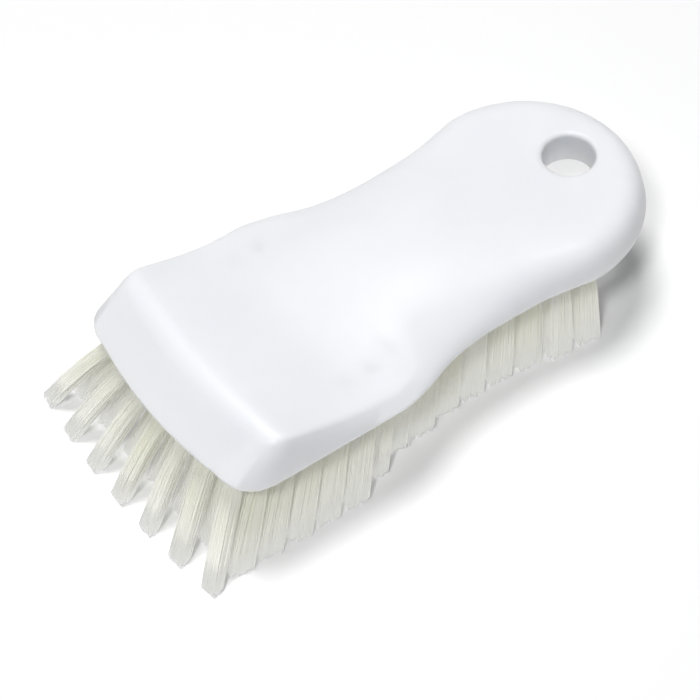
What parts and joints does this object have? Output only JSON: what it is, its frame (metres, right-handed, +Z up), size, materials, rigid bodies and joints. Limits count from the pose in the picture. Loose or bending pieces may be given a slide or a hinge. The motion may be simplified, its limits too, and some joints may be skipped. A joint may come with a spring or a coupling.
{
  "type": "hand scrub brush",
  "caption": "Hand scrub brush: a moulded plastic block with a front ridge, a waisted grip and a hanging hole, set underneath with fanned bristle tufts.",
  "frame": {"origin": "middle of the footprint, on the plane that the tuft tips stand on", "axes": "+Z up from the tuft tips to the block, +Y from the nose to the tail with the hanging hole, +X to the right of someone who looks from the nose along +Y"},
  "size_m": [0.0804, 0.1616, 0.0407],
  "materials": {
    "block_plastic": "white satin polypropylene with a very fine moulded texture",
    "filament": "cream, slightly translucent plastic filament with cut ends"
  },
  "bodies": {
    "root": {"block": "block_plastic", "front_tuft_1": "filament", "front_tuft_2": "filament", "front_tuft_3": "filament", "front_tuft_4": "filament", "front_tuft_5": "filament", "front_tuft_6": "filament", "front_tuft_7": "filament", "left_tuft_02": "filament", "right_tuft_02": "filament", "left_tuft_03": "filament", "right_tuft_03": "filament", "left_tuft_04": "filament", "right_tuft_04": "filament", "left_tuft_05": "filament", "right_tuft_05": "filament", "left_tuft_06": "filament", "right_tuft_06": "filament", "left_tuft_07": "filament", "right_tuft_07": "filament", "left_tuft_08": "filament", "right_tuft_08": "filament", "left_tuft_09": "filament", "right_tuft_09": "filament", "left_tuft_10": "filament", "right_tuft_10": "filament", "left_tuft_11": "filament", "right_tuft_11": "filament", "left_tuft_12": "filament", "right_tuft_12": "filament", "left_tuft_13": "filament", "right_tuft_13": "filament", "left_tuft_14": "filament", "right_tuft_14": "filament", "left_tuft_15": "filament", "right_tuft_15": "filament", "rear_tuft_1": "filament", "rear_tuft_2": "filament", "inner_row_02": "filament", "inner_row_03": "filament", "inner_row_04": "filament", "inner_row_05": "filament", "inner_row_06": "filament", "inner_row_07": "filament", "inner_row_08": "filament", "inner_row_09": "filament", "inner_row_10": "filament", "inner_row_11": "filament", "inner_row_12": "filament", "inner_row_13": "filament", "inner_row_14": "filament"}
  },
  "joints": []
}
